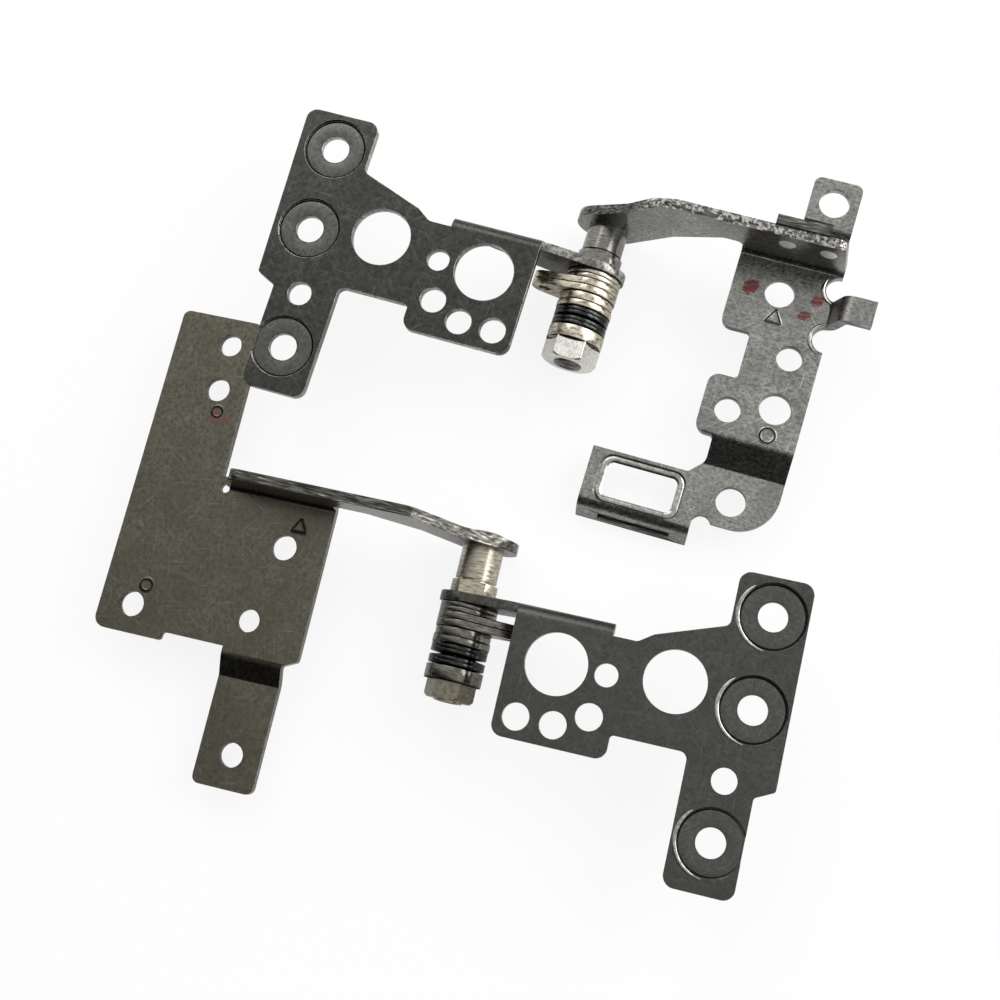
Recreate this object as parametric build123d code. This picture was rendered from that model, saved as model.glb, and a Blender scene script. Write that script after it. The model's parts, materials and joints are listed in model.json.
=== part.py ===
from build123d import *
import os
from collections import namedtuple
from math import cos, radians, sin, tan

# Laptop hinge pair, lying flat open beside each other, millimetres, +Z up.
# Each hinge is drawn in its own hand frame: x runs from the middle screw seat of the base
# bracket to the screen bracket, y runs along the shaft from the nut to the arm, and z is the
# height above the table. The left hinge is the same frame mirrored in x.

Hole = namedtuple("Hole", "x y diameter")

# Sheet metal
BASE_SHEET = 1.0
SCREEN_SHEET = 1.1
BEND_RADIUS = 0.35          # inside radius of every fold
CORNER_WIDE = 1.2           # corner radii of the stamped outlines
CORNER = 0.8
CORNER_TIGHT = 0.4

# Shaft axis and levels
ARM_END_RADIUS = 3.6        # the round arm ends stand on the table
AXIS_X = 30.5               # middle screw seat to shaft axis
BASE_RISE = 5.8             # shaft axis up to the top of the base bracket
SCREEN_RISE = 1.1           # shaft axis up to the top of the screen plates
WALL_RISE = 7.8             # shaft axis up to the top edge of the arm walls
AXIS_Z = ARM_END_RADIUS
BASE_TOP = AXIS_Z + BASE_RISE
SCREEN_TOP = AXIS_Z + SCREEN_RISE
WALL_TOP = AXIS_Z + WALL_RISE

# Base bracket, the T-shaped plate
BASE_NORTH = 13.4
BASE_SOUTH = -18.4
BASE_EDGE_X = 24.86         # edge beside the shaft stack
HEAD_X = 3.8                # inner side of the upper leg
SHOULDER_Y = 7.7
NECK = (10.9, 5.2)          # lower end of the slanted edge
NOTCH_X = 12.4
ARM_SOUTH = -5.45
LOBE_X = 13.1
LOBE_SOUTH = -8.05
LEG_X = 5.32
LEG_OUTER_X = -1.7
OUTER_TOP_X = {"left": -3.7, "right": -4.5}
OUTER_STEP = {"left": (-3.67, -7.3), "right": (-3.87, -6.1)}
STEP_DROP = 1.0
FLANGE_Y = 5.5              # outer face of the flange that is folded down
FLANGE_X = 14.9
FLANGE_DROP = 2.8
EAR_RADIUS = 3.3
EAR_SHOULDER = 0.9
SEAT_DIAMETER = 6.8
SEAT_DEPTH = 0.3
SEATS = (Hole(-0.16, 9.43, 3.0), Hole(0, 0, 3.0), Hole(1.44, -13.4, 3.0))
BASE_HOLES = (
    Hole(7.94, 1.08, 6.4),
    Hole(19.84, 0.18, 6.4),
    Hole(14.72, 0.18, 2.4),
    Hole(15.53, -4.23, 2.8),
    Hole(18.86, -5.8, 2.8),
    Hole(22.66, -5.8, 2.8),
    Hole(1.35, -7.33, 2.6),
)

# Arm of the screen brackets
WALL_Y = 11.3               # inner face of the wall
ARM_JOG = {"left": 0.5, "right": 1.0}      # the round end is set back towards the ear
JOG_START_X = 37.5
JOG_END_X = 32.5
ARM_UNDER_SLOPE = 31.0
ARM_OVER_SLOPE = {"left": 27.5, "right": 36.0}
ARM_UNDER_Z = AXIS_Z + 3.3  # underside of the arm beside the plate
ARM_CORNER = 1.5
WALL_LEAN = {"left": 1.9, "right": 0.6}    # the wall's free end leans in towards its top

# Right screen bracket
RIGHT_ROOT_X = 45.1
RIGHT_EDGE_X = 56.3
RIGHT_STEP_Y = 2.65
RIGHT_WAIST_X = 48.45
RIGHT_TAB = (45.55, -2.65, -9.2)     # left edge, upper and lower end of the small tab
RIGHT_STEM_X = 47.65
STEM_FLARE = 1.5            # the stem widens into the window frame
RIGHT_JOGGLE = 2.0
RIGHT_JOGGLE_Y = -9.0
RIGHT_JOGGLE_RUN = 2.9
RIGHT_LOBE_SOUTH = -18.1
RIGHT_LOBE_RADIUS = 4.4
RIGHT_HOLES = (
    Hole(50.3, 7.65, 3.2),
    Hole(53.16, 0.9, 2.8),
    Hole(53.16, -4.85, 3.4),
    Hole(48.4, -6.2, 2.8),
    Hole(51.36, -15.3, 3.2),
)
HOOK_Y = 6.7
HOOK_WIDTH = 2.8
HOOK_RISE = 3.4
HOOK_REACH = 4.0
HOOK_NOTCH = 1.45           # radius of the relief notches beside the hook
FRAME_X = 35.7              # free end of the window frame
FRAME_RIGHT_X = 47.9
FRAME_NORTH = -13.3
LIP_FOLD_Y = -19.35         # the slotted lip is folded down here
LIP_FOOT_Y = -20.1          # its middle where it meets the table
FRAME_NOTCH = Hole(48.95, -18.5, 2.1)
WINDOW = (37.25, 46.0, -18.75, -14.0)    # left, right, south and north side
WINDOW_CORNER = 1.1
SLOT = (38.1, 46.0)         # the slot in the lip, left and right end
SLOT_LEVELS = (0.4, 1.5)    # lower and upper side of the slot
WINDOW_CHAMFER = 0.35

# Riveted tab plate behind the right wall
TAB_SHEET = 1.0
TAB_LEFT_X = 48.0
TAB_RIGHT_X = 55.7
TAB_WING_X = 50.65
TAB_NECK_X = 53.7           # the wing is folded out between here and the right end
TAB_SLIT = 0.25
TAB_REACH = 6.0
TAB_DROP = 4.4
TAB_PROUD = 0.3             # above the top edge of the wall
TAB_HOLE = Hole(53.2, 15.9, 3.15)
RIVET_DIAMETER = 1.2
RIVET_HEAD = 1.9
RIVET_HEAD_HEIGHT = 0.3
RIVET_RISE = 5.8            # shaft axis up to the rivets
RIVETS_X = (49.7, 54.05)

# Left screen bracket
LEFT_ROOT_X = 46.8
LEFT_WALL_X = 59.0          # free end of the folded wall
LEFT_LEG_X = 60.0
LEFT_OUTER = ((69.2, 29.8), (69.65, -6.3))
LEFT_FOOT_X = 62.1
LEFT_SOUTH = -5.35
LEFT_TONGUE = (48.4, 55.1)  # inner and outer edge of the joggled tongue
LEFT_TONGUE_SOUTH = -19.85
LEFT_JOGGLE = 1.3
LEFT_JOGGLE_Y = -6.1
LEFT_JOGGLE_RUN = 2.1
LEFT_RELIEF = Hole(59.4, 11.15, 1.1)
LEFT_HOLES = (
    Hole(63.07, 26.8, 2.5),
    Hole(63.14, 21.65, 2.65),
    Hole(51.36, 6.2, 2.75),
    Hole(53.14, -2.2, 2.5),
    Hole(66.1, -3.2, 2.75),
    Hole(51.6, -16.25, 2.6),
)

# Shaft and friction stack
BARREL_DIAMETER = 4.4
GROOVE_DIAMETER = 3.7
GROOVE_WIDTH = 0.3
SHOULDER_DIAMETER = 4.9
SHOULDER_FLATS = 4.2
SHOULDER_LENGTH = 1.4
JOURNAL_DIAMETER = 3.2
KEY_FLATS = 2.5
TENON_DIAMETER = 3.0
PEEN_DIAMETER = 4.2
PEEN_HEIGHT = 0.5
THREAD_DIAMETER = 3.0
RUNNING_CLEARANCE = 0.04    # radial, shaft in the ear and the lug washers
KEY_CLEARANCE = 0.03        # radial, shaft in the keyed pieces and the nut
SEAT_CLEARANCE = 0.02       # between pieces of the stack that turn on each other
WASHER_DIAMETER = 6.1
WEAR_WASHER = 0.55
THRUST_WASHER = 0.55
LUG_WASHER = 0.78
KEYED_COLLAR = 1.0
KEYED_COLLAR_DIAMETER = 5.9
KEYED_WASHER = 0.68
SPRING_COUNT = 4
SPRING_SHEET = 0.42
SPRING_DIAMETER = 6.0
SPRING_BORE = 3.5
SPRING_PITCH = {"left": 0.6, "right": 0.55}
PRESSURE_WASHER = {"left": 1.4, "right": 1.4}
NUT_FLATS = {"left": 4.6, "right": 5.3}
NUT_HEIGHT = {"left": 2.0, "right": 2.25}
NUT_CHAMFER = 0.35
SHAFT_PROUD = 0.15
LUG_REACH = 4.8             # shaft axis to the hole in the lug, sideways and up
LUG_RISE = 0.3
LUG_TIP_RADIUS = 1.5
LUG_HOLE = 1.4

# Place of the two hinges
RIGHT_TURN = -2.0
LEFT_TURN = 2.0
LEFT_OFFSET = (57.67, -38.18)    # middle seat of the left hinge from that of the right one


def rounded_face(corners):
    """Face through (x, y, radius) corners; a corner of radius 0 stays sharp."""
    face = make_face(Polyline(*[(x, y) for x, y, _ in corners], close=True))
    for radius in sorted({r for _, _, r in corners if r}):
        chosen = [face.vertices().sort_by_distance((x, y))[0] for x, y, r in corners if r == radius]
        face = fillet(chosen, radius)
    return face


def on_side(sketch, y):
    """Sketch of (x, z) at the given y; it extrudes towards -y."""
    return Plane.XZ.offset(-y) * sketch


def on_end(sketch, x):
    """Sketch of (y, z) at the given x; it extrudes towards +x."""
    return Plane.YZ.offset(x) * sketch


def drill(solid, holes, bottom, top):
    """Cut round holes straight down through a solid."""
    for hole in holes:
        cutter = Cylinder(hole.diameter / 2, top - bottom, align=(Align.CENTER, Align.CENTER, Align.MIN))
        solid -= Pos(hole.x, hole.y, bottom) * cutter
    return solid


def fold_profile(points, sheet):
    """Section of a folded sheet whose middle line runs through the points."""
    return trace(FilletPolyline(*points, radius=BEND_RADIUS + sheet / 2), line_width=sheet)


def round_end_outline(points, radius):
    """Convex outline around the shaft axis and some further points."""
    ring = Pos(AXIS_X, AXIS_Z) * Circle(radius)
    return make_hull(ring.edges() + Polyline(*points).edges())


def stack_plane(y):
    """Plane across the shaft at the given y, drawn in x and z, facing -y."""
    return Plane(origin=(AXIS_X, y, AXIS_Z), x_dir=(1, 0, 0), z_dir=(0, -1, 0))


def disc(y, diameter, thickness):
    """Round piece on the shaft axis, from y towards the nut."""
    return extrude(stack_plane(y) * Circle(diameter / 2), amount=thickness)


def keyed(diameter, flats):
    """Round outline with two flats."""
    return Circle(diameter / 2) & Rectangle(diameter, flats)


def base_bracket(side):
    """T-shaped base bracket with coined screw seats and the folded ear for the shaft."""
    outer_radius = BEND_RADIUS + BASE_SHEET
    fold_y = FLANGE_Y - outer_radius
    step_x, step_y = OUTER_STEP[side]
    outline = rounded_face([
        (OUTER_TOP_X[side], BASE_NORTH, CORNER_WIDE),
        (HEAD_X, BASE_NORTH, CORNER_WIDE),
        (HEAD_X, SHOULDER_Y, CORNER),
        (*NECK, CORNER),
        (NOTCH_X, fold_y, CORNER),
        (BASE_EDGE_X, fold_y, 0),
        (BASE_EDGE_X, LOBE_SOUTH, CORNER_WIDE),
        (LOBE_X, LOBE_SOUTH, CORNER_WIDE),
        (LOBE_X, ARM_SOUTH, CORNER_TIGHT),
        (LEG_X, ARM_SOUTH, CORNER),
        (LEG_X, BASE_SOUTH, CORNER_WIDE),
        (LEG_OUTER_X, BASE_SOUTH, CORNER_WIDE),
        (LEG_OUTER_X, step_y - STEP_DROP, CORNER_TIGHT),
        (step_x, step_y, CORNER_TIGHT),
    ])
    bracket = extrude(Pos(0, 0, BASE_TOP - BASE_SHEET) * outline, amount=BASE_SHEET)
    quarter = Circle(outer_radius) - Circle(BEND_RADIUS)
    quarter &= Rectangle(outer_radius, outer_radius, align=Align.MIN)
    fold = on_end(Pos(fold_y, BASE_TOP - outer_radius) * quarter, FLANGE_X)
    bracket += extrude(fold, amount=BASE_EDGE_X - FLANGE_X)
    ear = round_end_outline([
        (FLANGE_X, BASE_TOP - FLANGE_DROP),
        (FLANGE_X, BASE_TOP - outer_radius),
        (BASE_EDGE_X, BASE_TOP - outer_radius),
        (BASE_EDGE_X + EAR_SHOULDER, BASE_TOP - outer_radius),
    ], EAR_RADIUS)
    bracket += extrude(on_side(ear, FLANGE_Y), amount=BASE_SHEET)
    bracket -= disc(FLANGE_Y, JOURNAL_DIAMETER + 2 * RUNNING_CLEARANCE, BASE_SHEET)
    recesses = [Hole(seat.x, seat.y, SEAT_DIAMETER) for seat in SEATS]
    bracket = drill(bracket, recesses, BASE_TOP - SEAT_DEPTH, BASE_TOP)
    return drill(bracket, SEATS + BASE_HOLES, BASE_TOP - BASE_SHEET, BASE_TOP)


def arm(side, root_x, end_x):
    """Arm and wall of a screen bracket: a jogged strip in plan, cut to the side outline."""
    middle = WALL_Y + SCREEN_SHEET / 2
    jog = ARM_JOG[side]
    tip_x = AXIS_X - ARM_END_RADIUS
    path = FilletPolyline(
        (end_x, middle),
        (JOG_START_X, middle),
        (JOG_END_X, middle - jog),
        (tip_x, middle - jog),
        radius=ARM_CORNER,
    )
    strip = extrude(trace(path, line_width=SCREEN_SHEET), amount=WALL_TOP)
    under, over = radians(ARM_UNDER_SLOPE), radians(ARM_OVER_SLOPE[side])
    under_start = (AXIS_X + ARM_END_RADIUS * sin(under), AXIS_Z - ARM_END_RADIUS * cos(under))
    over_start = (AXIS_X - ARM_END_RADIUS * sin(over), AXIS_Z + ARM_END_RADIUS * cos(over))
    under_x = under_start[0] + (ARM_UNDER_Z - under_start[1]) / tan(under)
    over_x = over_start[0] + (WALL_TOP - over_start[1]) / tan(over)
    wall_foot = SCREEN_TOP + BEND_RADIUS
    outline = rounded_face([
        (*under_start, 0),
        (under_x, ARM_UNDER_Z, CORNER),
        (root_x, ARM_UNDER_Z, CORNER),
        (root_x, wall_foot, 0),
        (end_x, wall_foot, 0),
        (end_x - WALL_LEAN[side], WALL_TOP, CORNER_WIDE),
        (over_x, WALL_TOP, CORNER_WIDE),
        (*over_start, 0),
    ])
    outline += Pos(AXIS_X, AXIS_Z) * Circle(ARM_END_RADIUS)
    cutter = extrude(on_side(outline, WALL_Y + SCREEN_SHEET), amount=SCREEN_SHEET + 2 * jog)
    bore = disc(WALL_Y + SCREEN_SHEET, TENON_DIAMETER + 2 * KEY_CLEARANCE, SCREEN_SHEET + jog)
    return (strip & cutter) - bore


def screen_sheet(joggle_y, joggle_run, joggle, end_y, left_x, right_x):
    """Wall foot, plate and joggle as one folded strip that runs along x."""
    wall_middle = WALL_Y + SCREEN_SHEET / 2
    plate_middle = SCREEN_TOP - SCREEN_SHEET / 2
    profile = fold_profile([
        (wall_middle, SCREEN_TOP + 2 * BEND_RADIUS),
        (wall_middle, plate_middle),
        (joggle_y, plate_middle),
        (joggle_y - joggle_run, plate_middle - joggle),
        (end_y, plate_middle - joggle),
    ], SCREEN_SHEET)
    return extrude(on_end(profile, left_x), amount=right_x - left_x)


def trimmed(sheet, outline):
    """Cut a folded sheet to its outline seen from above."""
    return sheet & extrude(outline, amount=WALL_TOP)


def right_plate():
    """Stepped screen plate with its joggle, lower lobe and cable hook."""
    north = WALL_Y + SCREEN_SHEET
    tab_x, tab_north, tab_south = RIGHT_TAB
    outline = rounded_face([
        (RIGHT_ROOT_X, north, 0),
        (RIGHT_EDGE_X, north, 0),
        (RIGHT_EDGE_X, RIGHT_LOBE_SOUTH, RIGHT_LOBE_RADIUS),
        (FRAME_RIGHT_X, RIGHT_LOBE_SOUTH, 0),
        (FRAME_RIGHT_X, FRAME_NORTH, 0),
        (RIGHT_STEM_X - STEM_FLARE, FRAME_NORTH, 0),
        (RIGHT_STEM_X, FRAME_NORTH + STEM_FLARE, CORNER_WIDE),
        (RIGHT_STEM_X, tab_south, CORNER_TIGHT),
        (tab_x, tab_south, CORNER_WIDE),
        (tab_x, tab_north, CORNER_WIDE),
        (RIGHT_WAIST_X, tab_north, CORNER_TIGHT),
        (RIGHT_WAIST_X, RIGHT_STEP_Y, CORNER_TIGHT),
        (RIGHT_ROOT_X, RIGHT_STEP_Y, CORNER_WIDE),
    ])
    sheet = screen_sheet(RIGHT_JOGGLE_Y, RIGHT_JOGGLE_RUN, RIGHT_JOGGLE, RIGHT_LOBE_SOUTH,
                         RIGHT_ROOT_X, RIGHT_EDGE_X)
    return trimmed(sheet, outline)


def cable_hook():
    """Narrow strap that rises from the plate's edge and curls outwards."""
    middle = SCREEN_TOP - SCREEN_SHEET / 2
    foot_x = RIGHT_EDGE_X
    profile = fold_profile([
        (foot_x - HOOK_NOTCH, middle),
        (foot_x, middle),
        (foot_x + HOOK_RISE / 3, middle + HOOK_RISE),
        (foot_x + HOOK_REACH, middle + HOOK_RISE),
    ], SCREEN_SHEET)
    return extrude(on_side(profile, HOOK_Y + HOOK_WIDTH / 2), amount=HOOK_WIDTH)


def window_frame():
    """Framed window beside the lobe, with a slotted lip folded down to the table."""
    middle = SCREEN_TOP - RIGHT_JOGGLE - SCREEN_SHEET / 2
    profile = fold_profile([
        (FRAME_NORTH, middle),
        (LIP_FOLD_Y, middle),
        (2 * LIP_FOOT_Y - LIP_FOLD_Y, -middle),
    ], SCREEN_SHEET)
    frame = extrude(on_end(profile, FRAME_X), amount=FRAME_RIGHT_X - FRAME_X)
    lip_reach = LIP_FOOT_Y - SCREEN_SHEET
    plan = Rectangle(FRAME_RIGHT_X - FRAME_X, FRAME_NORTH - lip_reach, align=Align.MIN)
    frame = trimmed(frame, Pos(FRAME_X, lip_reach) * plan)
    left, right, south, north = WINDOW
    window = RectangleRounded(right - left, north - south, WINDOW_CORNER)
    place = Pos((left + right) / 2, (south + north) / 2)
    frame -= extrude(place * window, amount=SCREEN_TOP)
    rim = RectangleRounded(right - left + 2 * WINDOW_CHAMFER, north - south + 2 * WINDOW_CHAMFER,
                           WINDOW_CORNER + WINDOW_CHAMFER)
    frame_top = middle + SCREEN_SHEET / 2
    frame -= place * Pos(0, 0, frame_top) * extrude(rim, amount=-WINDOW_CHAMFER, taper=45)
    slot_left, slot_right = SLOT
    slot_low, slot_high = SLOT_LEVELS
    slot = Rectangle(slot_right - slot_left, slot_high - slot_low, align=Align.MIN)
    through = LIP_FOLD_Y - lip_reach + SCREEN_SHEET
    frame -= extrude(on_side(Pos(slot_left, slot_low) * slot, LIP_FOLD_Y + SCREEN_SHEET), amount=through)
    return frame


def right_screen_bracket():
    """Right screen bracket as one folded sheet."""
    bracket = right_plate() + arm("right", RIGHT_ROOT_X, RIGHT_EDGE_X)
    hook_half = HOOK_WIDTH / 2 + HOOK_NOTCH
    notches = [Hole(RIGHT_EDGE_X, HOOK_Y + side * hook_half, 2 * HOOK_NOTCH) for side in (-1, 1)]
    bracket = drill(bracket, notches, SCREEN_TOP - SCREEN_SHEET, SCREEN_TOP)
    bracket += cable_hook()
    bracket += window_frame()
    bracket = drill(bracket, [FRAME_NOTCH], 0, SCREEN_TOP)
    bracket = drill(bracket, RIGHT_HOLES, 0, SCREEN_TOP)
    return bracket - rivet_shanks(RIVET_DIAMETER)


def left_screen_bracket():
    """Left screen bracket as one folded sheet."""
    north = WALL_Y + SCREEN_SHEET
    (outer_top_x, outer_north), (outer_foot_x, outer_south) = LEFT_OUTER
    inner_x, outer_x = LEFT_TONGUE
    outline = rounded_face([
        (LEFT_ROOT_X, north, 0),
        (LEFT_LEG_X, north, 0),
        (LEFT_LEG_X, outer_north, CORNER),
        (outer_top_x, outer_north, CORNER),
        (outer_foot_x, outer_south, CORNER_WIDE),
        (LEFT_FOOT_X, outer_south, CORNER_TIGHT),
        (LEFT_FOOT_X, LEFT_SOUTH, CORNER_TIGHT),
        (outer_x, LEFT_SOUTH, 0),
        (outer_x, LEFT_TONGUE_SOUTH, CORNER),
        (inner_x, LEFT_TONGUE_SOUTH, CORNER),
        (inner_x, LEFT_JOGGLE_Y, CORNER_TIGHT),
        (LEFT_ROOT_X, LEFT_JOGGLE_Y + CORNER, CORNER_TIGHT),
    ])
    sheet = screen_sheet(LEFT_JOGGLE_Y, LEFT_JOGGLE_RUN, LEFT_JOGGLE, LEFT_TONGUE_SOUTH,
                         LEFT_ROOT_X, LEFT_WALL_X)
    wing = Rectangle(outer_foot_x - LEFT_WALL_X, outer_north - outer_south, align=Align.MIN)
    sheet += extrude(Pos(LEFT_WALL_X, outer_south, SCREEN_TOP - SCREEN_SHEET) * wing, amount=SCREEN_SHEET)
    bracket = trimmed(sheet, outline) + arm("left", LEFT_ROOT_X, LEFT_WALL_X)
    bracket = drill(bracket, [LEFT_RELIEF], SCREEN_TOP - SCREEN_SHEET, SCREEN_TOP + BEND_RADIUS)
    return drill(bracket, LEFT_HOLES, 0, SCREEN_TOP)


def rivet_shanks(diameter):
    """Round bars on the rivets' axes, through the wall and the tab plate."""
    back = WALL_Y + SCREEN_SHEET + TAB_SHEET
    shank = Circle(diameter / 2)
    bars = [on_side(Pos(x, AXIS_Z + RIVET_RISE) * shank, back) for x in RIVETS_X]
    return [extrude(bar, amount=SCREEN_SHEET + TAB_SHEET) for bar in bars]


def tab_rivet(index):
    """Rivet with a low domed head on each side of the wall."""
    front = WALL_Y
    back = WALL_Y + SCREEN_SHEET + TAB_SHEET
    rivet = rivet_shanks(RIVET_DIAMETER)[index]
    rim, crown = (RIVET_HEAD / 2, 0), (0, RIVET_HEAD_HEIGHT)
    section = make_face([
        Line((0, 0), rim),
        TangentArc(crown, rim, tangent=(1, 0)),
        Line(crown, (0, 0)),
    ])
    head = revolve(section, axis=Axis.Y)
    place = Pos(RIVETS_X[index], 0, AXIS_Z + RIVET_RISE)
    rivet += place * Pos(0, back, 0) * head
    return rivet + place * Pos(0, front, 0) * Rot(180, 0, 0) * head


def cable_tab():
    """L-shaped tab plate riveted behind the wall, its wing folded out at the top."""
    back = WALL_Y + SCREEN_SHEET
    top = WALL_TOP + TAB_PROUD
    foot = top - TAB_DROP
    profile = fold_profile([
        (back + TAB_SHEET / 2, foot),
        (back + TAB_SHEET / 2, top - TAB_SHEET / 2),
        (back + TAB_REACH, top - TAB_SHEET / 2),
    ], TAB_SHEET)
    plate = extrude(on_end(profile, TAB_NECK_X), amount=TAB_RIGHT_X - TAB_NECK_X)
    upright = Rectangle(TAB_NECK_X - TAB_LEFT_X, TAB_DROP, align=Align.MIN)
    plate += extrude(on_side(Pos(TAB_LEFT_X, foot) * upright, back + TAB_SHEET), amount=TAB_SHEET)
    wing = Rectangle(TAB_NECK_X - TAB_WING_X, TAB_REACH - TAB_SHEET - TAB_SLIT, align=Align.MIN)
    wing = Pos(TAB_WING_X, back + TAB_SHEET + TAB_SLIT, top - TAB_SHEET) * wing
    plate += extrude(wing, amount=TAB_SHEET)
    ends = plate.edges().filter_by(Axis.Z).group_by(Axis.Y)[-1]
    plate = fillet(ends, CORNER)
    plate = drill(plate, [TAB_HOLE], top - TAB_SHEET, top)
    return plate - rivet_shanks(RIVET_DIAMETER)


def stack_heights(side):
    """Upper y of each piece of the friction stack, from the ear to the nut's free end."""
    y = FLANGE_Y - BASE_SHEET
    heights = {}
    pieces = [
        ("wear_washer", WEAR_WASHER),
        ("thrust_washer", THRUST_WASHER),
        ("lug_washer_inner", LUG_WASHER),
        ("lug_washer_outer", LUG_WASHER),
        ("keyed_collar", KEYED_COLLAR),
        ("keyed_washer", KEYED_WASHER),
        ("springs", SPRING_COUNT * SPRING_PITCH[side]),
        ("pressure_washer", PRESSURE_WASHER[side]),
        ("lock_nut", NUT_HEIGHT[side]),
    ]
    for name, thickness in pieces:
        heights[name] = y
        y -= thickness
    heights["end"] = y
    return heights


def hinge_shaft(side):
    """Stepped shaft, peened into the arm, with flats for the keyed washers and a threaded end."""
    heights = stack_heights(side)
    arm_front = WALL_Y - ARM_JOG[side]
    arm_back = arm_front + SCREEN_SHEET
    shoulder_top = FLANGE_Y + SEAT_CLEARANCE + SHOULDER_LENGTH
    groove_top = shoulder_top + GROOVE_WIDTH
    ear_front = FLANGE_Y - BASE_SHEET
    spring_top = heights["springs"]
    shaft = disc(arm_back + PEEN_HEIGHT, PEEN_DIAMETER, PEEN_HEIGHT)
    shaft = chamfer(shaft.edges().group_by(Axis.Y)[-1], PEEN_HEIGHT / 2)
    shaft += disc(arm_back, TENON_DIAMETER, SCREEN_SHEET)
    shaft += disc(arm_front, BARREL_DIAMETER, arm_front - groove_top)
    shaft += disc(groove_top, GROOVE_DIAMETER, GROOVE_WIDTH)
    shoulder = stack_plane(shoulder_top) * keyed(SHOULDER_DIAMETER, SHOULDER_FLATS)
    shaft += extrude(shoulder, amount=SHOULDER_LENGTH)
    shaft += disc(shoulder_top - SHOULDER_LENGTH, JOURNAL_DIAMETER, shoulder_top - SHOULDER_LENGTH - ear_front)
    key = stack_plane(ear_front) * keyed(JOURNAL_DIAMETER, KEY_FLATS)
    shaft += extrude(key, amount=ear_front - spring_top)
    return shaft + disc(spring_top, THREAD_DIAMETER, spring_top - heights["end"] + SHAFT_PROUD)


def round_washer(y, thickness, bore):
    """Plain washer from y towards the nut."""
    return disc(y, WASHER_DIAMETER, thickness) - disc(y, bore, thickness)


def keyed_washer(y, thickness, diameter):
    """Washer with a flatted bore that turns with the shaft."""
    bore = keyed(JOURNAL_DIAMETER + 2 * KEY_CLEARANCE, KEY_FLATS + 2 * KEY_CLEARANCE)
    return extrude(stack_plane(y) * (Circle(diameter / 2) - bore), amount=thickness)


def lug_washer(y):
    """Washer with a pierced lug that points sideways, under the edge of the base bracket."""
    tip = Pos(-LUG_REACH, LUG_RISE)
    outline = make_hull(Circle(WASHER_DIAMETER / 2).edges() + (tip * Circle(LUG_TIP_RADIUS)).edges())
    outline -= Circle(JOURNAL_DIAMETER / 2 + RUNNING_CLEARANCE)
    outline -= tip * Circle(LUG_HOLE / 2)
    return extrude(stack_plane(y) * outline, amount=LUG_WASHER - SEAT_CLEARANCE)


def disc_spring(y, pitch, opens):
    """Coned spring disc within its pitch; opens is 1 when its rim faces the arm, else -1."""
    rise = pitch - SPRING_SHEET
    inner_y = -rise if opens > 0 else 0
    outer_y = 0 if opens > 0 else -rise
    inner, outer = SPRING_BORE / 2, SPRING_DIAMETER / 2
    section = make_face(Polyline(
        (inner, inner_y), (outer, outer_y), (outer, outer_y - SPRING_SHEET), (inner, inner_y - SPRING_SHEET),
        close=True,
    ))
    place = Pos(AXIS_X, y, AXIS_Z)
    return place * revolve(section, axis=Axis.Y)


def lock_nut(side, y):
    """Hexagon nut with its free end chamfered."""
    height = NUT_HEIGHT[side]
    hexagon = RegularPolygon(NUT_FLATS[side] / 2, 6, major_radius=False)
    nut = extrude(stack_plane(y) * hexagon, amount=height)
    corner = NUT_FLATS[side] / 2 / cos(radians(30))
    turned = disc(y, 2 * corner, height)
    turned = chamfer(turned.edges().group_by(Axis.Y)[0], NUT_CHAMFER)
    nut &= turned
    return nut - disc(y, THREAD_DIAMETER + 2 * KEY_CLEARANCE, height)


def friction_stack(side):
    """All washers, springs and the nut on one shaft, by name."""
    y = stack_heights(side)
    free_bore = JOURNAL_DIAMETER + 2 * KEY_CLEARANCE
    pieces = {
        "wear_washer": keyed_washer(y["wear_washer"] - SEAT_CLEARANCE, WEAR_WASHER - SEAT_CLEARANCE,
                                    WASHER_DIAMETER),
        "thrust_washer": keyed_washer(y["thrust_washer"], THRUST_WASHER - SEAT_CLEARANCE, WASHER_DIAMETER),
        "lug_washer_inner": lug_washer(y["lug_washer_inner"]),
        "lug_washer_outer": lug_washer(y["lug_washer_outer"]),
        "keyed_collar": keyed_washer(y["keyed_collar"], KEYED_COLLAR, KEYED_COLLAR_DIAMETER),
        "keyed_washer": keyed_washer(y["keyed_washer"], KEYED_WASHER, WASHER_DIAMETER),
        "pressure_washer": round_washer(y["pressure_washer"], PRESSURE_WASHER[side], free_bore),
        "lock_nut": lock_nut(side, y["lock_nut"]),
    }
    pitch = SPRING_PITCH[side]
    for index in range(SPRING_COUNT):
        opens = 1 if index % 2 else -1
        pieces[f"disc_spring_{index + 1}"] = disc_spring(y["springs"] - index * pitch, pitch, opens)
    return pieces


def hinge(side):
    """All pieces of one hinge in the hand frame, by node name."""
    pieces = {"base_bracket": base_bracket(side), "hinge_shaft": hinge_shaft(side)}
    pieces.update(friction_stack(side))
    if side == "right":
        pieces["screen_bracket"] = right_screen_bracket()
        pieces["cable_tab"] = cable_tab()
        for index, place in enumerate(("inner", "outer")):
            pieces[f"tab_rivet_{place}"] = tab_rivet(index)
    else:
        pieces["screen_bracket"] = left_screen_bracket()
    return pieces


def placed_pair():
    """Both hinges in the pair's frame, before it is centred."""
    right_place = Rot(0, 0, RIGHT_TURN)
    left_place = Pos(*LEFT_OFFSET) * Rot(0, 0, LEFT_TURN)
    nodes = {f"right_{name}": right_place * piece for name, piece in hinge("right").items()}
    for name, piece in hinge("left").items():
        nodes[f"left_{name}"] = left_place * mirror(piece, about=Plane.YZ)
    return nodes


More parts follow.
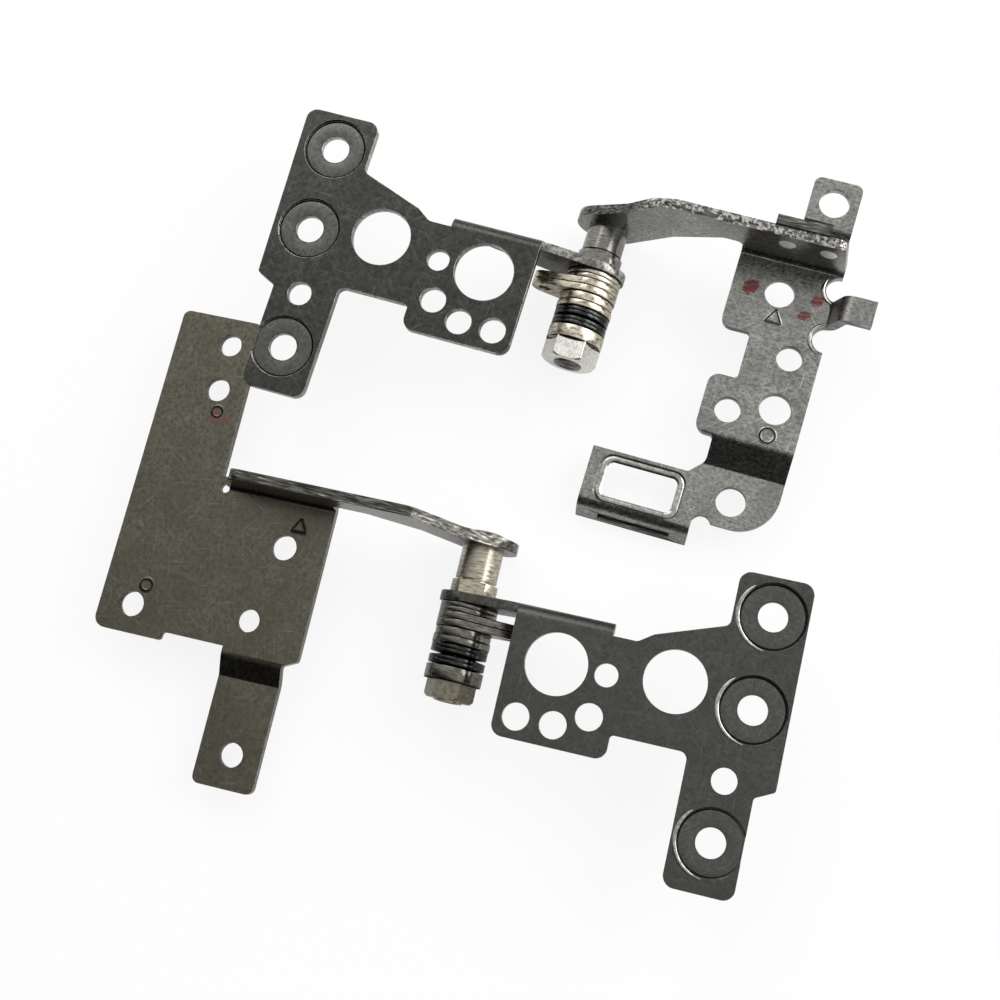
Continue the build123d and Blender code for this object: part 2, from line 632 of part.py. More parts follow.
nodes = placed_pair()
box = Compound(children=[Compound(node.solids()) for node in nodes.values()]).bounding_box()
centre = Pos(-(box.min.X + box.max.X) / 2, -(box.min.Y + box.max.Y) / 2, -box.min.Z)
os.makedirs("parts", exist_ok=True)
for name, node in nodes.items():
    export_step(centre * node, f"parts/{name}.step")
print("size", [round(v, 3) for v in box.size], "shift", [round(v, 4) for v in centre.position])
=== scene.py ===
"""Looks of a laptop hinge pair lying flat open: plated steel, cut edges, punch marks and paint, with
painted shade lines and painted highlights.
"""
import json
import logging
import math
from dataclasses import dataclass
from enum import Enum
from typing import Optional

import bmesh
import bpy
import numpy as np
from mathutils import Matrix, Vector
from mathutils.bvhtree import BVHTree

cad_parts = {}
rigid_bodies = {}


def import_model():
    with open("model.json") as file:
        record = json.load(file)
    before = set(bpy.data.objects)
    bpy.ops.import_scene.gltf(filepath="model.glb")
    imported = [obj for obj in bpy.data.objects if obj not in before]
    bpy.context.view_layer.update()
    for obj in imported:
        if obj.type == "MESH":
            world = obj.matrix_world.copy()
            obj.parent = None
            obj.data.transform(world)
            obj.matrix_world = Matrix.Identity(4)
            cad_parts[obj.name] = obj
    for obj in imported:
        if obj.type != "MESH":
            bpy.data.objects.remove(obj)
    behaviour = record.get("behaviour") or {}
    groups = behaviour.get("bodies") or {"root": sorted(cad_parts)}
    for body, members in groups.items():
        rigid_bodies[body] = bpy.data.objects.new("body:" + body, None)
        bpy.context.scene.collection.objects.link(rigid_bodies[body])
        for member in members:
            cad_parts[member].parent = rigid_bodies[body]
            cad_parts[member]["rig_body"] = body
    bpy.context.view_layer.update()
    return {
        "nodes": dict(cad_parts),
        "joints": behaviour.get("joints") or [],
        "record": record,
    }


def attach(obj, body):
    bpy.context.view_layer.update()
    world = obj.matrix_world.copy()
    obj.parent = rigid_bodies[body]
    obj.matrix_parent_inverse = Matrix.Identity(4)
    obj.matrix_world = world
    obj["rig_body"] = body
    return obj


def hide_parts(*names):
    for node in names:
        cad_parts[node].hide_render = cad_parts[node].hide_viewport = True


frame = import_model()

LOG = logging.getLogger("hinge_pair")
MM = 0.001

Point = tuple[float, float]
Triple = tuple[float, float, float]
Colour = Triple
Socket = bpy.types.NodeSocket
Material = bpy.types.Material
Piece = bpy.types.Object


class Side(Enum):
    """The two hinges of the pair."""

    LEFT = "left"
    RIGHT = "right"


class Mark(Enum):
    """Plain punch marks on the screen plates."""

    RING = "ring"
    TRIANGLE = "triangle"


# Finishes


class NodeGraph:
    """Small helper that adds shader nodes to one material and links them."""

    def __init__(self, tree: bpy.types.NodeTree) -> None:
        """Empty the tree and keep it."""
        self.tree = tree
        tree.nodes.clear()

    def add(self, kind: str, **inputs: object) -> bpy.types.Node:
        """Add a node and set or link its inputs.

        Args:
            kind: Blender's node type.
            inputs: value or output socket for each input, spaces written as underscores.

        Returns:
            The new node.
        """
        node = self.tree.nodes.new(kind)
        for name, value in inputs.items():
            socket = node.inputs[name.replace("_", " ")]
            if isinstance(value, Socket):
                self.tree.links.new(value, socket)
            else:
                socket.default_value = value
        return node

    def ramp(self, factor: Socket, stops: list[tuple[float, Colour]]) -> Socket:
        """Colour ramp through the given stops.

        Args:
            factor: the value that runs along the ramp.
            stops: place and colour of each stop, in order.

        Returns:
            The ramp's colour output.
        """
        node = self.add("ShaderNodeValToRGB", Fac=factor)
        elements = node.color_ramp.elements
        while len(elements) < len(stops):
            elements.new(1.0)
        for element, (place, colour) in zip(elements, stops):
            element.position = place
            element.color = (*colour, 1.0)
        return node.outputs["Color"]

    def spread(self, value: Socket, low: Point, high: Point) -> Socket:
        """Carry a value from one range to another, held at both ends.

        Args:
            value: the value.
            low: one end of its range, and what it becomes there.
            high: the other end, and what it becomes there.

        Returns:
            The carried value's output.
        """
        node = self.add("ShaderNodeMapRange", Value=value, From_Min=low[0], From_Max=high[0],
                        To_Min=low[1], To_Max=high[1])
        return node.outputs["Result"]

    def join(self, operation: str, first: Socket, second: Socket) -> Socket:
        """Join two values by a math operation.

        Args:
            operation: Blender's name of the operation.
            first: the first value.
            second: the second value.

        Returns:
            The result's output.
        """
        node = self.tree.nodes.new("ShaderNodeMath")
        node.operation = operation
        self.tree.links.new(first, node.inputs[0])
        self.tree.links.new(second, node.inputs[1])
        return node.outputs["Value"]

    def mix(self, factor: object, first: object, second: object) -> Socket:
        """Blend two colours by a factor.

        Args:
            factor: value or socket from 0 to 1.
            first: colour or socket at factor 0.
            second: colour or socket at factor 1.

        Returns:
            The mixed colour's output.
        """
        node = self.tree.nodes.new("ShaderNodeMix")
        node.data_type = "RGBA"
        sockets = (node.inputs[0], node.inputs[6], node.inputs[7])
        for socket, value in zip(sockets, (factor, first, second)):
            if isinstance(value, Socket):
                self.tree.links.new(value, socket)
            elif isinstance(value, tuple):
                socket.default_value = (*value, 1.0)
            else:
                socket.default_value = value
        return node.outputs[2]

    def noise(self, size: Triple, turn: float, detail: float, at: Triple = (0, 0, 0)) -> Socket:
        """Noise on the piece's own coordinates.

        Args:
            size: size of one patch along the turned x, y and z, in millimetres.
            turn: turn of the pattern about the vertical, in degrees.
            detail: octaves of the noise.
            at: shift of the pattern, in patches.

        Returns:
            The noise value's output.
        """
        place = self.tree.nodes.new("ShaderNodeTexCoord")
        turned = self.add("ShaderNodeMapping", Vector=place.outputs["Object"])
        turned.inputs["Rotation"].default_value = (0, 0, math.radians(turn))
        sized = self.add("ShaderNodeMapping", Vector=turned.outputs["Vector"])
        sized.inputs["Scale"].default_value = tuple(1 / (MM * s) for s in size)
        sized.inputs["Location"].default_value = at
        pattern = self.add("ShaderNodeTexNoise", Vector=sized.outputs["Vector"])
        pattern.inputs["Scale"].default_value = 1.0
        pattern.inputs["Detail"].default_value = detail
        return pattern.outputs["Fac"]

    def metal(self, colour: Socket, roughness: object, relief: Socket, strength: float,
              depth_mm: float) -> bpy.types.Node:
        """Metal shader with a fine relief.

        Args:
            colour: its colour.
            roughness: its roughness, a value or a socket.
            relief: height of the relief.
            strength: share of the relief that shows.
            depth_mm: depth of the relief, in millimetres.

        Returns:
            The shader.
        """
        bump = self.add("ShaderNodeBump", Strength=strength, Distance=depth_mm * MM, Height=relief)
        return self.add("ShaderNodeBsdfPrincipled", Base_Color=colour, Metallic=1.0,
                        Roughness=roughness, Normal=bump.outputs["Normal"])

    def finish(self, shader: bpy.types.Node, kind: str = "ShaderNodeOutputMaterial") -> None:
        """Link a shader to the surface of a new output node."""
        output = self.add(kind)
        self.tree.links.new(shader.outputs[0], output.inputs["Surface"])


def scaled(colour: Colour, factor: float) -> Colour:
    """The colour made lighter or darker."""
    return tuple(min(1.0, factor * part) for part in colour)


@dataclass(frozen=True)
class Finish:
    """A procedural finish, made into one material that its pieces share."""

    name: str

    def surface(self, graph: NodeGraph) -> bpy.types.Node:
        """Build the finish's shader."""
        raise NotImplementedError

    def material(self) -> Material:
        """Make the material, or give back the one made before.

        Returns:
            The material with this finish.
        """
        made = bpy.data.materials.get(self.name)
        if made is None:
            made = bpy.data.materials.new(self.name)
            made.use_nodes = True
            graph = NodeGraph(made.node_tree)
            graph.finish(self.surface(graph))
        return made


@dataclass(frozen=True)
class SteelFinish(Finish):
    """Plated steel: fine mottling, broad faint clouds, short hairlines and pits."""

    dark: Colour
    base: Colour
    worn: Colour
    roughness: Point = (0.24, 0.36)
    mottle_mm: Triple = (0.4, 0.4, 0.4)
    cloud_mm: Triple = (4.5, 4.5, 4.5)
    pit_mm: Triple = (0.2, 0.2, 0.2)
    hairline_mm: Triple = (2.6, 0.09, 0.3)
    cloud: float = 0.5
    pitting: float = 0.35
    scratch: float = 0.42
    grain_turn: float = 0.0
    bump_mm: float = 0.003
    hairlines: tuple[Point, ...] = ((8.0, 3.0), (52.0, 11.0), (97.0, 23.0), (141.0, 37.0))

    def surface(self, graph: NodeGraph) -> bpy.types.Node:
        """Metal whose colour, roughness and fine relief come from noise.

        Args:
            graph: the material's nodes.

        Returns:
            The shader.
        """
        mottle = graph.noise(self.mottle_mm, self.grain_turn, 5.0)
        colour = graph.ramp(mottle, [(0.34, self.dark), (0.5, self.base), (0.68, self.worn)])
        broad = graph.noise(self.cloud_mm, self.grain_turn, 4.0, (7, 3, 1))
        clouded = graph.spread(broad, (0.62, 0.0), (0.38, self.cloud))
        colour = graph.mix(clouded, colour, self.dark)
        pit = graph.noise(self.pit_mm, self.grain_turn, 2.0, (19, 5, 13))
        pitted = graph.spread(pit, (0.7, 0.0), (0.8, self.pitting))
        colour = graph.mix(pitted, colour, scaled(self.dark, 0.5))
        bright = scaled(self.worn, 2.8)
        for turn, shift in self.hairlines:
            line = graph.noise(self.hairline_mm, self.grain_turn + turn, 1.5, (shift, shift, 0))
            drawn = graph.spread(line, (0.64, 0.0), (0.78, self.scratch))
            colour = graph.mix(drawn, colour, bright)
        rough = graph.spread(mottle, (0.3, self.roughness[0]), (0.7, self.roughness[1]))
        return graph.metal(colour, rough, mottle, 0.7, self.bump_mm)


@dataclass(frozen=True)
class ShearedFinish(Finish):
    """Edge that a punch has cut: long drag lines, and bright crumbs high up where the metal broke, their
    brightness partly a painted glint.
    """

    shaved: Colour
    broken_glint: Colour
    crumbs: float = 0.0
    crumb_levels_mm: Point = (10.0, 11.0)
    crumb_mm: Triple = (0.34, 0.3, 0.4)
    drag_mm: Triple = (1.7, 0.2, 0.4)
    drag_depth_mm: float = 0.02
    drag_tones: tuple[Point, ...] = ((0.36, 0.25), (0.5, 0.8), (0.6, 1.3), (0.7, 3.0))
    roughness: float = 0.28

    def surface(self, graph: NodeGraph) -> bpy.types.Node:
        """Metal with drag lines, and with crumbs that set in between two levels.

        Args:
            graph: the material's nodes.

        Returns:
            The shader.
        """
        drag = graph.noise(self.drag_mm, 0.0, 3.0, (3, 9, 5))
        colour = graph.ramp(drag, [(at, scaled(self.shaved, tone)) for at, tone in self.drag_tones])
        crumb = graph.spread(graph.noise(self.crumb_mm, 25.0, 2.0), (0.5, 0.0), (0.6, 1.0))
        place = graph.add("ShaderNodeTexCoord")
        parts = graph.add("ShaderNodeSeparateXYZ", Vector=place.outputs["Object"])
        low, high = (level * MM for level in self.crumb_levels_mm)
        # Partly painted glint: the bright crumbs show only between two heights, near the top of the walls.
        share = graph.spread(parts.outputs["Z"], (low, 0.0), (high, self.crumbs))
        colour = graph.mix(graph.join("MULTIPLY", crumb, share), colour, self.broken_glint)
        return graph.metal(colour, self.roughness, drag, 0.6, self.drag_depth_mm)


@dataclass(frozen=True)
class PaintFinish(Finish):
    """Thin matt marking paint, rubbed through in places."""

    thick: Colour
    thin: Colour
    rub_mm: Triple = (0.3, 0.3, 0.3)

    def surface(self, graph: NodeGraph) -> bpy.types.Node:
        """Matt paint whose colour thins out by noise.

        Args:
            graph: the material's nodes.

        Returns:
            The shader.
        """
        rub = graph.noise(self.rub_mm, 20.0, 4.0)
        colour = graph.ramp(rub, [(0.4, self.thin), (0.56, self.thick)])
        return graph.add("ShaderNodeBsdfPrincipled", Base_Color=colour, Roughness=0.6)


def steel(name: str, base: Colour, spread: Point, **fields: object) -> SteelFinish:
    """Steel finish whose dark and worn tones follow from its base colour.

    Args:
        name: name of the material.
        base: its main colour.
        spread: factors for the dark and the worn tone.
        fields: further fields of the finish.

    Returns:
        The finish.
    """
    return SteelFinish(name, scaled(base, spread[0]), base, scaled(base, spread[1]), **fields)


# Mottling of turned pieces, in millimetres
TURNED = (0.8, 0.13, 0.8)

RIGHT_BASE_STEEL = steel("right_base_gunmetal", (0.049, 0.0485, 0.044), (0.75, 1.25), scratch=0.5)
LEFT_BASE_STEEL = steel("left_base_gunmetal", (0.072, 0.071, 0.065), (0.78, 1.2), grain_turn=35.0,
                        scratch=0.25)
SEAT_STEEL = steel("coined_seat", (0.084, 0.083, 0.077), (0.8, 1.2), cloud=0.3, scratch=0.3)
# Painted highlight: a pale edge tone for the right base bracket's cut edges and softened rims, in place of
# the light they catch; the left bracket keeps the darker plated edge tone below.
HIGHLIGHT_EDGE_STEEL = steel("painted_highlight_edge", (0.32, 0.313, 0.285), (0.3, 1.5), roughness=(0.2, 0.34), cloud=0.8,
                    scratch=0.1)
DARK_EDGE = steel("dark_edge", (0.11, 0.108, 0.098), (0.4, 1.6), roughness=(0.2, 0.34), cloud=0.7,
                  scratch=0.1)
LEFT_STEEL = steel("left_screen_gunmetal", (0.106, 0.099, 0.076), (0.72, 1.25), grain_turn=70.0,
                   scratch=0.3)
RIGHT_STEEL = steel("right_screen_grey", (0.235, 0.233, 0.218), (0.6, 1.4), mottle_mm=(0.42, 0.26, 0.3))
DRAGGED_STEEL = ShearedFinish("dragged_edge", (0.11, 0.107, 0.095), (0.5, 0.48, 0.42))
# Broken edge: its bright crumbs are partly a painted glint near the top of the walls.
BROKEN_GLINT_STEEL = ShearedFinish("broken_edge", (0.11, 0.108, 0.1), (0.5, 0.49, 0.46), crumbs=0.9)
# Rivet heads: bright metal raised near white, partly their own tone and partly a painted glint against the
# dark wall.
RIVET_GLINT_STEEL = steel("rivet_head_painted_glint", (0.92, 0.91, 0.86), (0.85, 1.08), roughness=(0.6, 0.75), scratch=0.1)
# Painted highlight: paler than the plates, for raised rims, crescents and the window bead that stand for
# light caught on rolled edges.
BEAD_HIGHLIGHT_STEEL = steel("rolled_bead_painted_highlight", (0.36, 0.355, 0.33), (0.6, 1.4), roughness=(0.16, 0.28), scratch=0.1)
NICKEL = steel("nickel_plate", (0.56, 0.51, 0.405), (0.35, 1.5), roughness=(0.2, 0.36),
               mottle_mm=(0.6, 0.26, 0.6), scratch=0.1, bump_mm=0.016)
BARREL_NICKEL = steel("barrel_nickel", (0.4, 0.37, 0.29), (0.45, 1.5), roughness=(0.16, 0.3),
                      mottle_mm=TURNED, scratch=0.1, bump_mm=0.004)
BRIGHT_NICKEL = steel("bright_nut", (0.8, 0.785, 0.72), (0.75, 1.15), roughness=(0.12, 0.22), cloud=0.3,
                      scratch=0.1, bump_mm=0.0015)
DULL_NICKEL = steel("dull_nut", (0.17, 0.157, 0.12), (0.6, 1.35), roughness=(0.14, 0.26), scratch=0.2,
                    bump_mm=0.0015)
DARK_NICKEL = steel("dark_washer", (0.18, 0.172, 0.146), (0.4, 1.6), roughness=(0.12, 0.24),
                    mottle_mm=TURNED, cloud=0.4, scratch=0.1, bump_mm=0.006)
SHAFT_STEEL = steel("shaft_steel", (0.2, 0.195, 0.178), (0.6, 1.5), roughness=(0.14, 0.26),
                    mottle_mm=TURNED, scratch=0.1, bump_mm=0.004)
BLACK_OXIDE = steel("black_oxide", (0.045, 0.045, 0.043), (0.5, 2.0), roughness=(0.12, 0.26),
                    scratch=0.1)
# Painted shade: near black, for the cuts of punch marks, the foot of the seat walls and the joints between
# washers.
SHADE_LINE_STEEL = steel("punched_line", (0.012, 0.012, 0.011), (0.6, 1.6), scratch=0.05)
RED_PAINT = PaintFinish("red_marking_paint", (0.2, 0.02, 0.019), (0.085, 0.028, 0.025))
FAINT_PAINT = PaintFinish("faint_red_paint", (0.13, 0.035, 0.03), (0.1, 0.06, 0.047))


# Geometry helpers

WELD_M = 2e-6
FLAT_DEG = 0.6
SOFT_EDGE_DEG = 38.0

# Screw seats of a base bracket in its hand frame, in millimetres
SEATS = ((-0.16, 9.43), (0.0, 0.0), (1.44, -13.4))


@dataclass(frozen=True)
class HandFrame:
    """Plan frame of one hinge: x from the middle screw seat to the screen plate, y along the shaft."""

    origin: Point
    along: Point
    mirrored: bool

    @classmethod
    def of(cls, side: Side) -> "HandFrame":
        """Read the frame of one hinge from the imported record.

        Args:
            side: which hinge.

        Returns:
            Its frame, from the hinge joint's axis and the mount midway between the outer seats.
        """
        mounts = {mount["name"]: mount for mount in frame["record"]["mounts"]}
        joints = {joint["name"]: joint for joint in frame["joints"]}
        middle = mounts[f"{side.value}_base_screws"]["pos_m"]
        axis = joints[f"{side.value}_hinge"]["axis"]
        level = cls((0.0, 0.0), (axis[0], axis[1]), side is Side.LEFT)
        seat_x, seat_y = np.mean([SEATS[0], SEATS[-1]], axis=0, keepdims=True).T
        offset = level.place(seat_x, seat_y, np.zeros(1))[0]
        origin = ((middle[0] - offset[0]) / MM, (middle[1] - offset[1]) / MM)
        return cls(origin, level.along, level.mirrored)

    def place(self, x: np.ndarray, y: np.ndarray, z: np.ndarray) -> np.ndarray:
        """Turn hand coordinates into the pair's frame.

        Args:
            x: across the hinge, in millimetres.
            y: along the shaft, in millimetres.
            z: height above the table, in millimetres.

        Returns:
            Points in metres, one row each.
        """
        across = -1.0 if self.mirrored else 1.0
        along_x, along_y = self.along
        points = np.stack([
            self.origin[0] + across * x * along_y + y * along_x,
            self.origin[1] - across * x * along_x + y * along_y,
            z + np.zeros_like(x),
        ], axis=-1)
        return points.reshape(-1, 3) * MM


def grid_faces(rows: int, columns: int, close_columns: bool) -> np.ndarray:
    """Quads of a grid of points, row by row.

    Args:
        rows: points along the first parameter.
        columns: points along the second one.
        close_columns: join the last column to the first.

    Returns:
        Four point numbers for each quad.
    """
    steps = columns if close_columns else columns - 1
    row, column = np.meshgrid(np.arange(rows - 1), np.arange(steps), indexing="ij")
    after = (column + 1) % columns
    here, below = row * columns, (row + 1) * columns
    corners = [here + column, here + after, below + after, below + column]
    return np.stack(corners, axis=-1).reshape(-1, 4)


def new_piece(name: str, points: np.ndarray, faces: np.ndarray, material: Material) -> Piece:
    """Make a mesh object at the origin, with its faces turned outwards.

    Args:
        name: name of the piece.
        points: points in metres.
        faces: point numbers of each face.
        material: its finish.

    Returns:
        The linked object.
    """
    mesh = bpy.data.meshes.new(name)
    mesh.from_pydata(points.tolist(), [], faces.tolist())
    shell = bmesh.new()
    shell.from_mesh(mesh)
    bmesh.ops.remove_doubles(shell, verts=shell.verts, dist=1e-7)
    bmesh.ops.recalc_face_normals(shell, faces=shell.faces)
    shell.to_mesh(mesh)
    shell.free()
    mesh.polygons.foreach_set("use_smooth", np.ones(len(mesh.polygons), dtype=bool))
    mesh.materials.append(material)
    piece = bpy.data.objects.new(name, mesh)
    bpy.context.scene.collection.objects.link(piece)
    return piece


@dataclass(frozen=True)
class SheetRule:
    """Tells a sheared edge of stamped sheet from its rolled faces by the metal behind the face."""

    cut: Finish
    rims_in_edge_finish: bool = False
    sheet_mm: Point = (0.5, 1.4)

    def mark(self, shell: bmesh.types.BMesh) -> None:
        """Give sheared faces the second material.

        Behind a rolled face the metal is as thick as the sheet. Behind a sheared edge it is deeper.

        Args:
            shell: a closed mesh of triangles.
        """
        tree = BVHTree.FromBMesh(shell)
        skin = 0.01 * MM
        for face in shell.faces:
            inwards = -face.normal
            depth = tree.ray_cast(face.calc_center_median() + inwards * skin, inwards)[3]
            rolled = depth is not None and self.sheet_mm[0] < depth / MM < self.sheet_mm[1]
            face.material_index = 0 if rolled else 1


def welded_mesh(node: Piece, name: str, edges: Optional[SheetRule]) -> bpy.types.Mesh:
    """Copy a CAD node's triangles as one welded mesh with flat faces joined.

    Args:
        node: the CAD node's object.
        name: name of the new mesh.
        edges: rule that marks sheared faces, if the piece is stamped.

    Returns:
        The new mesh.
    """
    source = node.data
    points = np.zeros(3 * len(source.vertices))
    source.vertices.foreach_get("co", points)
    corners = np.zeros(len(source.loops), dtype=np.int32)
    source.loops.foreach_get("vertex_index", corners)
    mesh = bpy.data.meshes.new(name)
    mesh.from_pydata(points.reshape(-1, 3).tolist(), [], corners.reshape(-1, 3).tolist())
    shell = bmesh.new()
    shell.from_mesh(mesh)
    bmesh.ops.remove_doubles(shell, verts=shell.verts, dist=WELD_M)
    if edges:
        edges.mark(shell)
    bmesh.ops.dissolve_limit(shell, angle_limit=math.radians(FLAT_DEG), verts=shell.verts,
                             edges=shell.edges, delimit={"MATERIAL"})
    shell.to_mesh(mesh)
    shell.free()
    return mesh


def dressed(node: str, finish: SteelFinish, bevel_mm: float, edges: Optional[SheetRule] = None) -> Piece:
    """Replace a CAD node by a welded copy with softened edges and a finish.

    Args:
        node: name of the CAD node.
        finish: the finish of its faces.
        bevel_mm: width of the softened edges.
        edges: rule that gives sheared faces the cut finish, if the piece is stamped.

    Returns:
        The new piece.
    """
    cad = frame["nodes"][node]
    mesh = welded_mesh(cad, f"{node}_metal", edges)
    mesh.materials.append(finish.material())
    if edges:
        mesh.materials.append(edges.cut.material())
    mesh.polygons.foreach_set("use_smooth", np.ones(len(mesh.polygons), dtype=bool))
    piece = bpy.data.objects.new(f"{node}_metal", mesh)
    bpy.context.scene.collection.objects.link(piece)
    bevel = piece.modifiers.new("soft_edges", "BEVEL")
    bevel.width = bevel_mm * MM
    bevel.segments = 2
    bevel.limit_method = "ANGLE"
    bevel.angle_limit = math.radians(SOFT_EDGE_DEG)
    # The softened rims take the edge finish; on the right base bracket that finish is a painted highlight.
    if edges and edges.rims_in_edge_finish:
        bevel.material = 1
    normals = piece.modifiers.new("flat_faces", "WEIGHTED_NORMAL")
    normals.keep_sharp = True
    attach(piece, cad["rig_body"])
    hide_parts(node)
    return piece


# Sub-assemblies


@dataclass
class PlateMarks:
    """Punched lines, paint, painted shade lines and painted highlight rims on one bracket's flat faces."""

    hand: HandFrame
    body: str
    burr_mm: Point = (0.44, 0.05)
    cut_shade_mm: Point = (0.22, 0.03)
    cut_shade_lift_mm: float = 0.03
    seat_shade_line_mm: Point = (0.2, 0.07)
    bead_mm: Point = (0.8, 0.14)

    def ribbon(self, name: str, x: np.ndarray, y: np.ndarray, level: float, width: float, proud: float,
               finish: Finish, closed: bool = True) -> Piece:
        """Low rounded ribbon along a path on a flat face.

        The profile runs across the path from one rim to the other: its height is the parabola
        1 - t * t with t from -1 to 1, and its rims lie on the face. An open path tapers to its
        ends as the square root of a sine.

        Args:
            name: name of the piece.
            x: path across the hinge, in millimetres.
            y: path along the shaft, in millimetres.
            level: height of the face, in millimetres.
            width: width of the ribbon, in millimetres.
            proud: its height above the face, in millimetres.
            finish: its finish.
            closed: join the path's end to its start.

        Returns:
            The ribbon.
        """
        if closed:
            x, y = np.append(x, x[0]), np.append(y, y[0])
        step_x, step_y = np.gradient(x), np.gradient(y)
        if closed:
            step_x[[0, -1]] = x[1] - x[-2]
            step_y[[0, -1]] = y[1] - y[-2]
        length = np.hypot(step_x, step_y)
        t = np.linspace(-1, 1, 7)[None, :]
        taper = np.ones(len(x)) if closed else np.sqrt(np.sin(np.linspace(0.02, np.pi - 0.02, len(x))))
        half = taper * width / 2
        across_x = x[:, None] - (half * step_y / length)[:, None] * t
        across_y = y[:, None] + (half * step_x / length)[:, None] * t
        height = level + proud * taper[:, None] * (1 - t * t) + 0 * across_x
        points = self.hand.place(across_x, across_y, height)
        piece = new_piece(name, points, grid_faces(len(x), t.size, False), finish.material())
        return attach(piece, self.body)

    def seat(self, name: str, centre: Point, edge_x: float, level: float) -> list[Piece]:
        """Coined screw seat: a faintly domed floor round the hole and a near-black line along the foot of
        its wall, a painted shade.

        In polar form the floor runs from the hole to the line and stands 0.03 * (1 - t * t) of a
        millimetre high, with t from -1 to 1. Where the plate's edge is nearer than the line, the
        floor ends there and the line is left open.

        Args:
            name: name of the seat.
            centre: the hole's centre in the hand frame, in millimetres.
            edge_x: the plate's outer edge beside the seat, in millimetres.
            level: height of the seat's floor, in millimetres.

        Returns:
            The floor and the line.
        """
        hole, rim, line, margin = 1.64, 3.13, 3.24, 0.22
        lift, dome = 0.008, 0.03
        around = np.linspace(0, 2 * np.pi, 120, endpoint=False)[None, :]
        t = np.linspace(-1, 1, 11)[:, None]
        inside = centre[0] - edge_x - margin
        outer = np.minimum(rim, inside / np.maximum(-np.cos(around), 1e-6))
        radius = hole + (outer - hole) * (t + 1) / 2
        x, y = centre[0] + radius * np.cos(around), centre[1] + radius * np.sin(around)
        points = self.hand.place(x, y, level + lift + dome * (1 - t * t) + 0 * x)
        faces = grid_faces(t.size, around.size, True)
        floor = new_piece(f"{name}_floor", points, faces, SEAT_STEEL.material())
        sweep = math.acos(max(-1.0, -inside / line))
        turn = np.linspace(-sweep, sweep, 120)
        x, y = centre[0] + line * np.cos(turn), centre[1] + line * np.sin(turn)
        # Painted shade: a near-black line at the foot of the seat's wall.
        drawn = self.ribbon(f"{name}_line", x, y, level, *self.seat_shade_line_mm, SHADE_LINE_STEEL, closed=inside >= line)
        return [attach(floor, self.body), drawn]

    def arc(self, name: str, centre: Point, radius: float, sweep_deg: Point, level: float,
            section: Point) -> Piece:
        """Bright rolled rim along an arc, a painted highlight for the light that one side of a rim or
        recess wall catches.

        Args:
            name: name of the piece.
            centre: the arc's centre in the hand frame, in millimetres.
            radius: its radius, in millimetres.
            sweep_deg: its first and last angle, in degrees.
            level: height of the face, in millimetres.
            section: width of the rim and its height above the face, in millimetres.

        Returns:
            The rim.
        """
        turn = np.radians(np.linspace(*sweep_deg, 48))
        x, y = centre[0] + radius * np.cos(turn), centre[1] + radius * np.sin(turn)
        return self.ribbon(name, x, y, level, *section, BEAD_HIGHLIGHT_STEEL, closed=False)

    def window_bead(self, name: str, low: Point, high: Point, level: float) -> Piece:
        """Rolled bead round the window, along a rectangle with rounded corners: its raised shape stands for
        the rolled lip, and its pale finish is partly a painted highlight.

        Args:
            name: name of the piece.
            low: the path's low corner in the hand frame, in millimetres.
            high: its high corner, in millimetres.
            level: height of the frame, in millimetres.

        Returns:
            The bead.
        """
        corner = 1.1
        turn = np.linspace(0, 2 * np.pi, 96, endpoint=False) + 0.01
        x = np.where(np.cos(turn) > 0, high[0] - corner, low[0] + corner) + corner * np.cos(turn)
        y = np.where(np.sin(turn) > 0, high[1] - corner, low[1] + corner) + corner * np.sin(turn)
        return self.ribbon(name, x, y, level, *self.bead_mm, BEAD_HIGHLIGHT_STEEL)

    def punch(self, name: str, x: np.ndarray, y: np.ndarray, level: float,
              finish: SteelFinish) -> list[Piece]:
        """Punched line: a raised burr in the plate's finish with the cut along its middle drawn near black,
        a painted shade.

        Args:
            name: name of the mark.
            x: closed path across the hinge, in millimetres.
            y: closed path along the shaft, in millimetres.
            level: height of the face, in millimetres.
            finish: the plate's finish.

        Returns:
            The burr and the cut.
        """
        burr = self.ribbon(f"{name}_burr", x, y, level, *self.burr_mm, finish)
        # Painted shade: the cut drawn near black along the middle of the burr.
        cut = self.ribbon(f"{name}_cut", x, y, level + self.cut_shade_lift_mm, *self.cut_shade_mm, SHADE_LINE_STEEL)
        return [burr, cut]

    def ring(self, name: str, centre: Point, radius: float, level: float,
             finish: SteelFinish) -> list[Piece]:
        """Punched ring along a circle.

        Args:
            name: name of the mark.
            centre: its centre in the hand frame, in millimetres.
            radius: its radius, in millimetres.
            level: height of the face, in millimetres.
            finish: the plate's finish.

        Returns:
            The burr and the cut.
        """
        turn = np.linspace(0, 2 * np.pi, 64, endpoint=False)
        x, y = centre[0] + radius * np.cos(turn), centre[1] + radius * np.sin(turn)
        return self.punch(name, x, y, level, finish)

    def triangle(self, name: str, centre: Point, radius: float, level: float,
                 finish: SteelFinish) -> list[Piece]:
        """Punched triangle along three straight sides with small rounded corners.

        The path's distance from the centre is cos(60) / cos(a), with a the angle from the middle
        of the nearest side, held short of the corners.

        Args:
            name: name of the mark.
            centre: its centre in the hand frame, in millimetres.
            radius: its radius, in millimetres.
            level: height of the face, in millimetres.
            finish: the plate's finish.

        Returns:
            The burr and the cut.
        """
        corner_share = 0.93
        turn = np.linspace(0, 2 * np.pi, 90, endpoint=False)
        from_side = np.mod(turn + np.pi / 3, 2 * np.pi / 3) - np.pi / 3
        reach = np.minimum(radius * 0.5 / np.cos(from_side), corner_share * radius)
        heading = turn - np.pi / 2
        x, y = centre[0] + reach * np.cos(heading), centre[1] + reach * np.sin(heading)
        return self.punch(name, x, y, level, finish)

